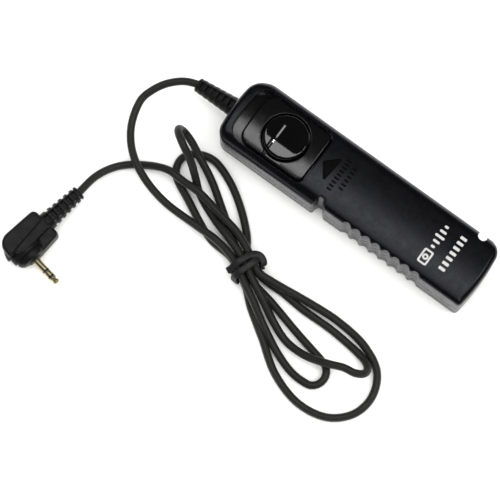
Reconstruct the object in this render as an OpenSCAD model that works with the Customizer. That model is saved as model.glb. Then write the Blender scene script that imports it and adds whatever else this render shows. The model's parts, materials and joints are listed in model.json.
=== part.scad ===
// Cable shutter release: a slim two-shell hand piece with a sliding lock plate and a
// two-stage release button, a thin cable gathered in a tied bundle, and a right-angled
// 2.5 mm three-pole plug.
//
// Origin: bottom centre of the hand piece. +X runs from the cable end to the far end,
// +Z is up through the button, and -Y is the side with the finger scallops.

/* [Hand piece] */
// Length from the cable end to the far end
body_len = 96; // [94:0.5:100]
// Width across the two long sides
body_w = 24.6; // [24.2:0.1:26]
// Height at the crown of the top face
body_h = 17.6; // [17.2:0.1:18.4]
// Wall thickness of both shells
wall = 1.6; // [1.4:0.1:1.8]
// Rounding of the long top and bottom edges
edge_r = 3; // [2:0.5:4]
// How far the scalloped side stands back from the plain one
grip_inset = 0.9; // [0.6:0.1:1.2]

/* [Button] */
// Diameter of the release button
button_d = 14.7; // [14:0.1:15]
// Full travel of the release button
press_travel = 1.6; // [1.2:0.1:1.6]
// Travel of the lock plate towards the cable end
lock_travel = 2.2; // [1.6:0.1:2.2]

/* [Finger grip] */
// Number of scallops along the grip side
scallops = 8; // [4:1:8]
// Distance from one scallop to the next
scallop_pitch = 3.77; // [3.6:0.01:3.8]
// Radius of one scallop
scallop_r = 1.75; // [1.5:0.05:1.8]

/* [Cable and plug] */
// Diameter of the cable's jacket
cable_d = 2.6; // [2.2:0.1:2.6]
// Radius of the plug's contacts
pin_r = 1.25; // [1.2:0.05:1.3]
// Length of the plug's pin in front of the moulding
pin_len = 11; // [11:0.1:11.4]
// Thickness of the plug's moulding
plug_h = 7.4; // [7:0.1:8]

/* [Hidden] */

$fn = 64;
eps = 0.01;
arc_steps = 8;
cord_sides = 8;             // sides of the swept cable and wires
half_len = body_len / 2;
half_w = body_w / 2;
seam_z = 8.6;               // height of the parting line between the shells
crown_r = 85;               // the top face is part of a cylinder this big
end_r = 70;                 // both end faces bulge to this radius in plan
end_edge_r = 2.5;           // rounding of the end faces' top and bottom edges
grip_from_x = -7.2;         // the grip side starts here, inside the cable slot
cable_corner_r = 6;
far_corner_r = 4.5;
grip_corner_r = 1.2;
grip_edge_r = 1.4;          // rounding of the scalloped side's top and bottom edges

// Recess, lock plate and button
button_x = -28.2;
bore_r = 7.8;               // well that the button sinks into
cup_r = 8.4;
recess_x = [-43.9, -15.7];
recess_w = 19.4;
recess_r = 3.4;
recess_floor = 15.4;
floor_t = 1.2;
plate_x = [-40.4, -16.1];
plate_w = 18.6;
plate_r = 2.6;
plate_base = 15.5;
plate_drop = 0.25;          // the plate's top lies this far under the crown
cup_floor = [11.9, 12.9];
slot_r = 8.6;               // half width of the opening under the plate
tongue_w = 6;
tongue_z = [13.1, 14.1];
tongue_x = [-40.4, -15.9];
button_z = [15.6, 18.1];
rib_x = -31;                // the tactile rib lies across the button here
rib_w = 0.6;
plunger_r = 2;
plunger_gap = 0.1;
plunger_z = [10.2, 16.6];
clip_z = [11.2, 11.8];
clip_r = 3.4;
clip_groove_r = 1.5;
clip_mouth = 1.4;

// Notches: the cable slot on the grip side and the plug holder near the far end
slot_x = grip_from_x;
slot_w = 3.4;
slot_depth = 3.4;
holder_x = 40.4;
holder_r = 1.75;
holder_y = 11.45;
notch_wall = 1.3;
first_scallop_x = 3.7;
scallop_depth = 0.95;

// Contact stack
base_x = [-13, -5];
base_w = 8;
base_z = [wall, 5];
leaf_w = 5;
leaf_t = 0.3;
leaf_tip_x = -33.5;
leaf_z = [5, 6.5, 8];       // underside of each leaf where the stack holds it
leaf_tip_z = [7.7, 9, 10.2];
tail_w = 1.2;
tail_end_x = -2;
tail_pitch = 2;
stack_screw_x = [-11.2, -6.8];
stack_screw_r = 0.7;
stack_head_r = 1.4;
stack_head_h = 0.8;
cross_w = 0.4;              // a screw's cross recess: its width, then its reach and floor
cross_reach = 0.6;          // as parts of the head's radius and height
cross_floor = 0.4;

// Screws that hold the shells together, and the stiffening ribs between them
case_screw_x = [12, 37];
case_boss_r = 2.6;
case_screw_r = 0.9;
case_screw_top = seam_z + 5;
case_head_r = 1.8;
case_head_h = 1.2;
case_head_z = 3;            // the heads' undersides sit this high in their counterbores
stiffener_x = [20, 29];
stiffener_h = 4;

// Cable clamp inside the cable end
clamp_x = [-43.6, -40.4];
clamp_mid_x = (clamp_x[0] + clamp_x[1]) / 2;
clamp_half_w = 6;
clamp_top = seam_z + 2.6;
clamp_screw_y = 4.2;
clamp_screw_r = 0.7;
clamp_screw_z = 5;
clamp_head_r = 1.3;
clamp_head_h = 0.7;
clamp_boss_r = 1.5;

// Strain relief boot on the hand piece
boot_z = seam_z;
boot_len = 14.8;
boot_yaw = 2.2;
boot_droop = 5;
boot_r = [3.3, 2.35];        // radius at the hand piece and at the tip
boot_neck_r = 3.4;
boot_flange_r = 4.15;
boot_flange_x = [-half_len + wall, -half_len + wall + 1.2];
boot_gap = 0.05;
boot_rings = 7;
ring_share = 0.72;          // part of the pitch that each ring takes
ring_depth = 0.55;

// Plug frame: +X along the pin, +Y along the cable
plug_pos = [-71, -76.7, plug_h / 2];
plug_turn = -10;
plug_x = [-12.1, 0.8];
plug_y = [-6.4, 11.2];
nose_cut = [3.4, 4.2];      // the nose's corners are cut by this much, left and right
block_cut = 1.2;            // and the block's other corners and edges by this much
relief_x = -6.1;
relief_len = 13.9;
relief_r = [3.3, 2.4];      // radius at the plug and at the cable
collar_r = 2.3;
collar_end = 1;
root_r = 1.7;               // the sleeve is thicker inside the moulding
flange_x = [-2.1, -0.9];    // its flange, moulded into the block
flange_r = 2.4;
stem_from = [-2, -3, -4, -5];       // nested stems: outer insulator, ring, inner insulator, tip
stem_r = [1.05, 0.9, 0.6, 0.35];
tip_neck_r = 0.85;
tip_neck_x = 0.35;          // the neck and the ball behind it, from the end of the tip's straight part
tip_ball_x = 0.9;
tip_ball_r = 1.2;
tip_end_r = 0.3;
tip_straight = 0.8;
sleeve_end = 5.2;
ring_start = 5.7;
ring_end = 7.7;
tip_start = 8.2;

// Cable bundle: six passes lie three wide and two high inside the tie
knot = [-15, -39];
along = [0.89, -0.46];
across = [0.46, 0.89];
lane = 2.8;
low = 2.4;
high = 5.1;
half_pass = 5;
tie_t = 1;                  // thickness of the coated tie
tie_x = [0.2, 2.4];         // one turn of the tie lies here along the bundle
tie_side_gap = 0.15;
tie_low_gap = 0.08;
tie_top_gap = 0.1;
tie_corner_r = 1.2;

function at_pass(u, v, z) = concat([for (k = [0, 1]) knot[k] + u * along[k] + v * across[k]], [z]);
function turned(p, a) = [p[0] * cos(a) - p[1] * sin(a), p[0] * sin(a) + p[1] * cos(a)];
function plug_point(p) = concat([for (k = [0, 1]) plug_pos[k] + turned(p, plug_turn)[k]], [plug_pos[2]]);
function boot_tip() = [
    -half_len - boot_len * cos(boot_droop) * cos(boot_yaw),
    -boot_len * cos(boot_droop) * sin(boot_yaw),
    boot_z - boot_len * sin(boot_droop)];

BODY_LEAD = [
    boot_tip(), [-67, -2.5, 6.9], [-71.8, -7.8, 6.2], [-74.8, -15.2, 5.3], [-72.3, -23.7, 4.6],
    [-66.9, -30.3, 4.3], [-58.2, -34.8, 3.9], [-47.1, -37.3, 2.4], [-37, -37.2, 4.1],
    at_pass(-half_pass, -lane, high), at_pass(half_pass, -lane, high)];
SMALL_LOOP = [
    [-7, -46.4, 4.4], [0, -50.4, 2.4], [9.2, -55, 1.4], [16.6, -57.6, 1.4], [21.2, -57.8, 1.4],
    [24.9, -56.2, 1.4], [26.5, -53.1, 1.4], [25.3, -50.1, 1.4], [22, -48.8, 1.4], [10, -46, 1.4],
    [-2, -43, 1.5], at_pass(half_pass, 0, low), at_pass(-half_pass, 0, low)];
TALL_LOOP = [
    [-25, -33.3, 1.5], [-33, -27.8, 1.4], [-41, -22.5, 1.8], [-47.9, -19.2, 4.1],
    [-53.5, -16.4, 4], [-57, -15.4, 5.4], [-58.6, -16, 8.4], [-57.6, -17.7, 11.3],
    [-54.7, -19.7, 12.4], [-49.6, -22.3, 9.2], [-45.8, -24.9, 4.6], [-41.5, -28.2, 1.6],
    [-33, -32, 2.2], [-26, -34.4, 4.8], at_pass(-half_pass, 0, high), at_pass(half_pass, 0, high)];
MIDDLE_LOOP = [
    [-5.3, -43.9, 4.6], [1, -47.2, 2.4], [9, -50.3, 1.6], [17, -50.9, 3.4], [24.3, -49.1, 6.2],
    [29.2, -47.8, 7.4], [33.2, -46.7, 6.5], [35, -44.5, 4.4], [33.5, -41.6, 2.3],
    [29.5, -39.7, 1.4], [19, -38.8, 1.4], [7, -38.9, 1.4], [-1.4, -39.3, 1.5],
    at_pass(half_pass, lane, low), at_pass(-half_pass, lane, low)];
WIDE_LOOP = [
    [-20.8, -30.7, 1.6], [-27.6, -24.6, 1.4], [-36.4, -19.1, 1.4], [-45, -16.6, 1.4],
    [-50.6, -18.5, 1.4], [-53.3, -22.4, 1.4], [-51.9, -27.2, 1.4], [-42.7, -32.3, 1.4],
    [-30, -38, 1.4], at_pass(-half_pass, -lane, low), at_pass(half_pass, -lane, low)];
OUTER_LOOP = [
    [-6.8, -48.2, 1.5], [1.8, -54.4, 1.4], [12.4, -60.8, 1.4], [24, -64, 1.4], [34, -62, 1.4],
    [40, -56, 1.4], [41.3, -48.5, 1.4], [38, -41.2, 1.4], [30, -36.8, 1.4], [18, -35.3, 1.4],
    [6, -35.9, 2.2], [-1.7, -37.2, 4.2], at_pass(half_pass, lane, high), at_pass(-half_pass, lane, high)];
PLUG_LEAD = [
    [-24, -31.7, 5], [-33, -30, 4.9], [-42, -28.4, 5.1], [-48, -28.5, 4.6], [-54, -28.3, 4.2],
    [-62, -31.3, 1.4], [-68.5, -36.8, 1.4], [-71.8, -43.5, 2.4],
    plug_point([relief_x, plug_y[1] + relief_len])];
ROUTE = concat(BODY_LEAD, SMALL_LOOP, TALL_LOOP, MIDDLE_LOOP, WIDE_LOOP, OUTER_LOOP, PLUG_LEAD);

// Wires between the cable and the leaf tails
wire_d = 0.8;
wire_gap = 0.02;
core_pitch = wire_d + 0.06;
solder_h = 0.7;

// Each wire runs from the stripped cable end along the plain side to its own tail;
// shift is its place beside the middle wire, and z its height over the tail
function wire_route(shift, y, z) = [
    [-40, shift, 8.6], [-38.2 - shift / 2, shift + 0.8, 7.6], [-36.4 - shift, shift / 2 + 4, 5.4],
    [-33 - shift / 2, shift + 7.2, 3.6], [-20, shift + 8, 3], [-8, shift + 7.6, 3],
    [shift - 1.5, shift + 6, 3.6], [1, y + 3.2, z - 0.6], [-0.4, y + 0.8, z + 0.1], [tail_end_x - 0.2, y, z]];

// ---- curves and swept tubes ----

function arc(centre, r, from, to) = [
    for (k = [0:arc_steps]) let (a = from + (to - from) * k / arc_steps)
        [centre[0] + r * cos(a), centre[1] + r * sin(a)]];
function unit(v) = v / norm(v);
function tangent(path, i) = unit(path[min(i + 1, len(path) - 1)] - path[max(i - 1, 0)]);
// The side vector is level unless the path climbs straight up
function side_of(t) = norm([t[1], t[0]]) < eps ? [1, 0, 0] : unit([t[1], -t[0], 0]);

// A round tube swept along a path as one closed polyhedron
module tube(path, d, sides) {
    rings = len(path);
    points = [for (i = [0:rings - 1])
        let (t = tangent(path, i), s = side_of(t), u = cross(s, t))
        for (k = [0:sides - 1])
            let (a = 360 * (k + 0.5) / sides)
            path[i] + d / 2 * (cos(a) * s + sin(a) * u)];
    walls = [for (i = [0:rings - 2], k = [0:sides - 1], half = [0, 1])
        let (a = i * sides + k, b = i * sides + (k + 1) % sides)
        half == 0 ? [a, b, b + sides] : [a, b + sides, a + sides]];
    start = [for (k = [sides - 1:-1:0]) k];
    end = [for (k = [0:sides - 1]) (rings - 1) * sides + k];
    polyhedron(points, concat(walls, [start, end]));
}

// A cylinder lying along +X between two stations
module bar_x(x, r) {
    translate([x[0], 0, 0])
        rotate([0, 90, 0])
            cylinder(h = x[1] - x[0], r = r);
}

module box(x, y, z) {
    translate([x[0], y[0], z[0]])
        cube([x[1] - x[0], y[1] - y[0], z[1] - z[0]]);
}

module rounded_plate(x, w, r, z) {
    for (cx = [x[0] + r, x[1] - r], cy = [-w / 2 + r, w / 2 - r])
        translate([cx, cy, z[0]])
            cylinder(h = z[1] - z[0], r = r);
    box([x[0] + r, x[1] - r], [-w / 2, w / 2], z);
    box(x, [-w / 2 + r, w / 2 - r], z);
}

// ---- outline of the hand piece; inset moves every face inwards ----

function bulge(y) = y * y / (2 * end_r);

module plan_outline(inset) {
    w = half_w - inset;
    g = w - grip_inset;
    l = half_len - inset;
    rc = cable_corner_r - inset;
    rf = far_corner_r - inset;
    rg = max(grip_corner_r - inset, 0.2);
    polygon(concat(
        arc([l - bulge(w - rf) - rf, w - rf], rf, 0, 90),
        arc([-l + bulge(w - rc) + rc, w - rc], rc, 90, 180),
        [[-l, 0]],
        arc([-l + bulge(w - rc) + rc, -w + rc], rc, 180, 270),
        [[grip_from_x, -w], [grip_from_x, -g]],
        arc([l - bulge(g - rg) - rg, -g + rg], rg, 270, 360),
        [[l, 0]]));
}

function crown_z(y) = body_h - crown_r + sqrt(crown_r * crown_r - y * y);

// Cross-section with the left side at -left, whose edges are rounded to left_r
module cross_outline(inset, left, left_r) {
    w = half_w - inset;
    r = max(edge_r - inset, 0.4);
    lw = left - inset;
    lr = max(left_r - inset, 0.2);
    crown = [for (k = [arc_steps - 1:-1:-arc_steps + 1])
        let (y = k / arc_steps * (w - r)) if (y > -lw + lr) [y, crown_z(y) - inset]];
    polygon(concat(
        arc([w - r, inset + r], r, -90, 0),
        arc([w - r, crown_z(w - r) - inset - r], r, 0, 90),
        crown,
        arc([-lw + lr, crown_z(lw - lr) - inset - lr], lr, 90, 180),
        arc([-lw + lr, inset + lr], lr, 180, 270)));
}

module side_outline(inset) {
    r = end_edge_r - min(inset, 1.5);
    l = half_len - inset;
    polygon(concat(
        arc([l - r, inset + r], r, -90, 0), arc([l - r, body_h - inset - r], r, 0, 90),
        arc([-l + r, body_h - inset - r], r, 90, 180), arc([-l + r, inset + r], r, 180, 270)));
}

module along_x(x) {
    translate([x[0], 0, 0])
        rotate([90, 0, 90])
            linear_extrude(x[1] - x[0])
                children();
}

module hand_block(inset, grip_extra = 0) {
    intersection() {
        linear_extrude(body_h)
            plan_outline(inset);
        union() {
            along_x([-half_len, grip_from_x])
                cross_outline(inset, half_w, edge_r);
            along_x([grip_from_x - eps, half_len])
                cross_outline(inset, half_w - grip_inset - grip_extra, grip_edge_r);
        }
        rotate([90, 0, 0])
            translate([0, 0, -half_w])
                linear_extrude(body_w)
                    side_outline(inset);
    }
}

// ---- notches and scallops ----

module cable_slot(grow) {
    r = slot_w / 2 + grow;
    end_y = -half_w + slot_depth - slot_w / 2;
    translate([slot_x, end_y, -1])
        cylinder(h = body_h + 2, r = r);
    box([slot_x - r, slot_x + r], [-half_w - 1, end_y], [-1, body_h + 1]);
}

module plug_holder(grow) {
    translate([holder_x, holder_y, -1])
        cylinder(h = body_h + 2, r = holder_r + grow);
}

module scallop_row() {
    for (k = [0:scallops - 1])
        translate([first_scallop_x + k * scallop_pitch,
                   -half_w + grip_inset - scallop_r + scallop_depth, -1])
            cylinder(h = body_h + 2, r = scallop_r);
}

// The hollow shell body between two heights, with walls round the notches
module hollow(z) {
    difference() {
        intersection() {
            difference() {
                hand_block(0);
                difference() {
                    hand_block(wall, scallop_depth);
                    cable_slot(notch_wall);
                    plug_holder(notch_wall);
                }
            }
            box([-body_len, body_len], [-body_w, body_w], z);
        }
        cable_slot(0);
        plug_holder(0);
        scallop_row();
    }
}

// Round hole for the boot through the cable end, with a groove for its flange
module boot_hole() {
    translate([0, 0, boot_z]) {
        bar_x([-half_len - 1, boot_flange_x[1]], boot_neck_r + boot_gap);
        bar_x(boot_flange_x, boot_flange_r + boot_gap);
    }
}

// ---- shells ----

module top_shell() {
    color([0.07, 0.07, 0.08])
    difference() {
        union() {
            hollow([seam_z, body_h]);
            intersection() {
                hand_block(wall / 2);
                union() {
                    rounded_plate([recess_x[0] - wall, recess_x[1] + wall], recess_w + 2,
                                  recess_r + 1, [recess_floor - floor_t, body_h]);
                    for (x = case_screw_x)
                        translate([x, 0, seam_z])
                            cylinder(h = body_h - seam_z, r = case_boss_r - 0.4);
                    for (x = stiffener_x)
                        box([x - 0.5, x + 0.5], [-half_w, half_w], [body_h - stiffener_h, body_h]);
                }
            }
        }
        rounded_plate(recess_x, recess_w, recess_r, [recess_floor, body_h + 1]);
        for (dx = [0, -lock_travel])
            translate([button_x + dx, 0, recess_floor - floor_t - 1])
                cylinder(h = floor_t + 2, r = slot_r);
        box([button_x - lock_travel, button_x], [-slot_r, slot_r],
            [recess_floor - floor_t - 1, recess_floor + 1]);
        for (x = case_screw_x)
            translate([x, 0, seam_z - 1])
                cylinder(h = case_screw_top + 1.5 - seam_z, r = case_screw_r);
        boot_hole();
    }
}

module bottom_shell() {
    color([0.06, 0.06, 0.07])
    difference() {
        union() {
            hollow([0, seam_z]);
            intersection() {
                hand_block(wall / 2);
                union() {
                    for (x = case_screw_x)
                        translate([x, 0, 0])
                            cylinder(h = seam_z, r = case_boss_r);
                    for (x = stiffener_x)
                        box([x - 0.5, x + 0.5], [-half_w, half_w], [0, stiffener_h]);
                    for (side = [-1, 1])
                        translate([clamp_mid_x, side * clamp_screw_y, 0])
                            cylinder(h = seam_z, r = clamp_boss_r);
                    box(clamp_x, [-cable_d, cable_d], [0, boot_z - cable_d / 2]);
                }
            }
        }
        for (x = case_screw_x)
            translate([x, 0, -1]) {
                cylinder(h = body_h, r = case_screw_r);
                cylinder(h = 1 + case_head_z, r = case_head_r + 0.2);
            }
        for (side = [-1, 1])
            translate([clamp_mid_x, side * clamp_screw_y, clamp_screw_z - 0.4])
                cylinder(h = body_h, r = clamp_screw_r);
        boot_hole();
    }
}

// ---- lock plate, button and what moves with it ----

module lock_slider() {
    color([0.03, 0.03, 0.035])
    difference() {
        union() {
            intersection() {
                rounded_plate(plate_x, plate_w, plate_r, [plate_base, body_h]);
                translate([0, 0, body_h - plate_drop - crown_r])
                    bar_x([-half_len, half_len], crown_r, $fn = 512);
            }
            translate([button_x, 0, cup_floor[0]])
                cylinder(h = plate_base + 0.5 - cup_floor[0], r = cup_r);
            box(tongue_x, [-tongue_w / 2, tongue_w / 2], tongue_z);
        }
        translate([button_x, 0, cup_floor[1]])
            cylinder(h = body_h, r = bore_r);
        translate([button_x, 0, 0])
            cylinder(h = body_h, r = plunger_r + plunger_gap);
    }
}

module release_button() {
    chamfer = 0.5;
    rib_h = 0.3;
    r = button_d / 2;
    color([0.02, 0.02, 0.025])
    difference() {
        union() {
            translate([button_x, 0, 0])
                rotate_extrude()
                    polygon([[0, button_z[0]], [r, button_z[0]], [r, button_z[1] - chamfer],
                             [r - chamfer, button_z[1]], [0, button_z[1]]]);
            intersection() {
                box([rib_x - rib_w / 2, rib_x + rib_w / 2], [-r, r],
                    [button_z[0] + 0.5, button_z[1] + rib_h]);
                translate([button_x, 0, button_z[0]])
                    cylinder(h = 5, r = r - chamfer);
            }
        }
        translate([button_x, 0, button_z[0] - 1])
            cylinder(h = plunger_z[1] - button_z[0] + 1, r = plunger_r);
    }
}

module plunger() {
    color([0.85, 0.85, 0.82])
    difference() {
        translate([button_x, 0, 0])
            rotate_extrude()
                polygon([[0, plunger_z[0]], [plunger_r - 0.8, plunger_z[0]],
                         [plunger_r, plunger_z[0] + 0.8], [plunger_r, plunger_z[1]],
                         [0, plunger_z[1]]]);
        translate([button_x, 0, clip_z[0]])
            difference() {
                cylinder(h = clip_z[1] - clip_z[0], r = plunger_r + 1);
                cylinder(h = clip_z[1] - clip_z[0], r = clip_groove_r);
            }
    }
}

// Spring steel ring that keeps the button in its well
module plunger_clip() {
    color([0.6, 0.61, 0.63])
    translate([button_x, 0, clip_z[0]])
        difference() {
            cylinder(h = clip_z[1] - clip_z[0], r = clip_r);
            translate([0, 0, -1])
                cylinder(h = 3, r = clip_groove_r);
            box([-clip_mouth / 2, clip_mouth / 2], [0, clip_r + 1], [-1, 2]);
        }
}

// Conical compression spring between the well's floor and the button
module return_spring() {
    turns = 3;
    steps = 14;
    wire = 0.45;
    low_r = 5.6;
    high_r = 3.4;
    z0 = cup_floor[1] + wire / 2 + 0.02;
    z1 = button_z[0] - wire / 2 - 0.02;
    coil = [for (k = [0:turns * steps])
        let (f = k / (turns * steps), a = 360 * k / steps, r = low_r + (high_r - low_r) * f)
        [button_x + r * cos(a), r * sin(a), z0 + (z1 - z0) * f]];
    color([0.75, 0.76, 0.78])
        tube(coil, wire, 6);
}

// ---- contact stack ----

module leaf(i) {
    z = leaf_z[i];
    tip = leaf_tip_z[i];
    start_x = base_x[0] - 1;
    color([0.80, 0.58, 0.25]) {
        difference() {
            translate([0, leaf_w / 2, 0])
                rotate([90, 0, 0])
                    linear_extrude(leaf_w)
                        polygon([[base_x[1], z], [base_x[1], z + leaf_t], [start_x, z + leaf_t],
                                 [leaf_tip_x, tip + leaf_t], [leaf_tip_x, tip], [start_x, z]]);
            for (x = stack_screw_x)
                translate([x, 0, z - 1])
                    cylinder(h = 2, r = stack_screw_r + 0.4);
        }
        tail_y = (i - 1) * tail_pitch;
        box([base_x[1] - eps, tail_end_x], [tail_y - tail_w / 2, tail_y + tail_w / 2],
            [z, z + leaf_t]);
    }
}

module contact_release() leaf(0);
module contact_focus() leaf(1);
module contact_common() leaf(2);

module stack_block(z) {
    difference() {
        box(base_x, [-base_w / 2, base_w / 2], z);
        for (x = stack_screw_x)
            translate([x, 0, z[0] - 1])
                cylinder(h = z[1] - z[0] + 2, r = stack_screw_r);
    }
}

module contact_base() {
    color([0.12, 0.12, 0.12])
        stack_block(base_z);
}

// One insulating spacer above each of the two lower leaves
module contact_spacers() {
    color([0.75, 0.70, 0.55]) {
        stack_block([leaf_z[0] + leaf_t, leaf_z[1]]);
        stack_block([leaf_z[1] + leaf_t, leaf_z[2]]);
    }
}

module screw(r, head_r, head_h, length) {
    difference() {
        union() {
            cylinder(h = length, r = r);
            translate([0, 0, length])
                cylinder(h = head_h, r = head_r);
        }
        for (a = [0, 90])
            rotate([0, 0, a])
                translate([-head_r * cross_reach, -cross_w / 2, length + head_h * cross_floor])
                    cube([2 * head_r * cross_reach, cross_w, head_h]);
    }
}

module contact_screws() {
    top = leaf_z[2] + leaf_t;
    color([0.7, 0.7, 0.72])
    for (x = stack_screw_x)
        translate([x, 0, base_z[0]])
            screw(stack_screw_r, stack_head_r, stack_head_h, top - base_z[0]);
}

// ---- wiring ----

module wire(i) {
    z = leaf_z[i] + leaf_t + wire_d / 2 + wire_gap;
    tube(wire_route((i - 1) * core_pitch, (i - 1) * tail_pitch, z), wire_d, cord_sides);
}

module wire_release() color([0.85, 0.85, 0.85]) wire(0);
module wire_focus() color([0.75, 0.08, 0.06]) wire(1);
module wire_common() color([0.90, 0.75, 0.15]) wire(2);

module solder_joints() {
    color([0.78, 0.79, 0.80])
    for (i = [0:2])
        translate([tail_end_x - 1, (i - 1) * tail_pitch, leaf_z[i] + leaf_t])
            cylinder(h = solder_h, r = tail_w / 2);
}

module cable_end() {
    color([0.05, 0.05, 0.055])
    translate([0, 0, boot_z])
        bar_x([boot_flange_x[1], clamp_x[1] + 0.2], cable_d / 2);
}

module cable_clamp() {
    color([0.12, 0.12, 0.13])
    difference() {
        box(clamp_x, [-clamp_half_w, clamp_half_w], [seam_z + 0.02, clamp_top]);
        translate([0, 0, boot_z])
            bar_x([clamp_x[0] - 1, clamp_x[1] + 1], cable_d / 2);
        for (side = [-1, 1])
            translate([clamp_mid_x, side * clamp_screw_y, 0])
                cylinder(h = body_h, r = clamp_screw_r);
    }
}

module clamp_screws() {
    color([0.7, 0.7, 0.72])
    for (side = [-1, 1])
        translate([clamp_mid_x, side * clamp_screw_y, clamp_screw_z])
            screw(clamp_screw_r, clamp_head_r, clamp_head_h, clamp_top - clamp_screw_z);
}

module case_screws() {
    color([0.25, 0.25, 0.27])
    for (x = case_screw_x)
        translate([x, 0, case_screw_top])
            mirror([0, 0, 1])
                screw(case_screw_r, case_head_r, case_head_h, case_screw_top - case_head_z);
}

// ---- strain reliefs, cable and tie ----

// A tapered boot along +X with ring grooves, from radius r0 to r1
module ribbed_boot(length, r0, r1, rings) {
    pitch = length / rings;
    profile = [for (k = [0:rings - 1], c = [[0, 0], [ring_share, 0], [ring_share, -ring_depth], [1, -ring_depth]])
        let (x = (k + c[0]) * pitch) [r0 + (r1 - r0) * x / length + c[1], x]];
    rotate([0, 90, 0])
        rotate_extrude()
            polygon(concat([[0, 0]], profile, [[0, length]]));
}

module body_strain_relief() {
    flange = [boot_flange_x[0] + 0.02, boot_flange_x[1] - 0.02];
    color([0.05, 0.05, 0.055]) {
        translate([0, 0, boot_z]) {
            bar_x(flange, boot_flange_r);
            bar_x([-half_len - 0.6, flange[0] + eps], boot_neck_r);
        }
        translate([-half_len, 0, boot_z])
            rotate([0, -boot_droop, 0])
                rotate([0, 0, 180 + boot_yaw])
                    ribbed_boot(boot_len, boot_r[0], boot_r[1], boot_rings);
    }
}

module cable() {
    color([0.06, 0.06, 0.065])
        tube(ROUTE, cable_d, cord_sides);
}

// Rounded outline round the six passes of the bundle, grown outwards
module bundle_outline(grow) {
    w = 2 * (lane + tie_side_gap + grow) + cable_d;
    z = [low - cable_d / 2 - tie_low_gap - grow, high + cable_d / 2 + tie_top_gap + grow];
    r = tie_corner_r + grow;
    for (y = [-w / 2 + r, w / 2 - r], cz = [z[0] + r, z[1] - r])
        translate([y, cz])
            circle(r);
    translate([-w / 2 + r, z[0]])
        square([w - 2 * r, z[1] - z[0]]);
    translate([-w / 2, z[0] + r])
        square([w, z[1] - z[0] - 2 * r]);
}

// One turn of the tie between two stations along the bundle
module tie_turn(x) {
    along_x(x)
        difference() {
            bundle_outline(tie_t);
            bundle_outline(0);
        }
}

module cable_tie() {
    color([0.04, 0.04, 0.045])
    translate([knot[0], knot[1], 0])
        rotate([0, 0, atan2(along[1], along[0])]) {
            tie_turn([-tie_x[1], -tie_x[0]]);
            tie_turn(tie_x);
        }
}

module in_plug_frame() {
    translate(plug_pos)
        rotate([0, 0, plug_turn])
            children();
}

module plug_strain_relief() {
    color([0.05, 0.05, 0.055])
    in_plug_frame()
        translate([relief_x, plug_y[1], 0])
            rotate([0, 0, 90])
                ribbed_boot(relief_len, relief_r[0], relief_r[1], boot_rings);
}

// ---- plug ----

// An outline with its corners cut, by one cut for each of the low corners
module cut_outline(x, y, low_cut, c) {
    polygon([[x[0] + low_cut[0], y[0]], [x[1] - low_cut[1], y[0]], [x[1], y[0] + low_cut[1]],
             [x[1], y[1] - c], [x[1] - c, y[1]], [x[0] + c, y[1]],
             [x[0], y[1] - c], [x[0], y[0] + low_cut[0]]]);
}

module plug_block() {
    h = plug_h / 2;
    intersection() {
        translate([0, 0, -h])
            linear_extrude(plug_h)
                cut_outline(plug_x, plug_y, nose_cut, block_cut);
        rotate([90, 0, 0])
            translate([0, 0, -plug_y[1]])
                linear_extrude(plug_y[1] - plug_y[0])
                    cut_outline(plug_x, [-h, h], [block_cut, block_cut], block_cut);
    }
}

module plug_body() {
    color([0.05, 0.05, 0.055])
    in_plug_frame()
        difference() {
            union() {
                plug_block();
                bar_x([0, collar_end], collar_r);
            }
            bar_x([flange_x[1], collar_end + 1], root_r);
            bar_x(flange_x, flange_r);
            for (k = [1:3])
                bar_x([stem_from[k], flange_x[1]], stem_r[k]);
        }
}

// Ground contact: a tube with a flange moulded into the plug's body
module plug_sleeve() {
    color([0.85, 0.66, 0.30])
    in_plug_frame()
        difference() {
            union() {
                bar_x([0, sleeve_end], pin_r);
                bar_x([flange_x[0], collar_end], root_r);
                bar_x(flange_x, flange_r);
            }
            bar_x([stem_from[1], pin_len], stem_r[0]);
        }
}

module plug_ring() {
    color([0.85, 0.66, 0.30])
    in_plug_frame()
        difference() {
            union() {
                bar_x([stem_from[1], ring_end], stem_r[1]);
                bar_x([ring_start, ring_end], pin_r);
            }
            bar_x([stem_from[2], pin_len], stem_r[2]);
        }
}

module plug_tip() {
    head = tip_start + tip_straight;
    stem = stem_r[3];
    color([0.85, 0.66, 0.30])
    in_plug_frame()
        rotate([0, 90, 0])
            rotate_extrude()
                polygon([[0, stem_from[3]], [stem, stem_from[3]], [stem, tip_start],
                         [pin_r, tip_start], [pin_r, head], [tip_neck_r, head + tip_neck_x],
                         [tip_ball_r, head + tip_ball_x], [tip_end_r, pin_len], [0, pin_len]]);
}

// Two insulating sleeves, each with the washer that shows between the contacts
module plug_insulators() {
    color([0.02, 0.02, 0.02])
    in_plug_frame() {
        difference() {
            union() {
                bar_x([stem_from[0], ring_start], stem_r[0]);
                bar_x([sleeve_end, ring_start], pin_r);
            }
            bar_x([stem_from[1], pin_len], stem_r[1]);
        }
        difference() {
            union() {
                bar_x([stem_from[2], tip_start], stem_r[2]);
                bar_x([ring_end, tip_start], pin_r);
            }
            bar_x([stem_from[3], pin_len], stem_r[3]);
        }
    }
}

top_shell();
bottom_shell();
lock_slider();
return_spring();
release_button();
plunger();
plunger_clip();
contact_base();
contact_common();
contact_focus();
contact_release();
contact_spacers();
contact_screws();
wire_common();
wire_focus();
wire_release();
solder_joints();
cable_end();
cable_clamp();
clamp_screws();
case_screws();
body_strain_relief();
cable();
cable_tie();
plug_strain_relief();
plug_body();
plug_sleeve();
plug_ring();
plug_tip();
plug_insulators();
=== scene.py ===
import json
import math

import bmesh
import bpy
import numpy as np
from mathutils import Matrix, Vector
from mathutils.geometry import delaunay_2d_cdt


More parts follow.
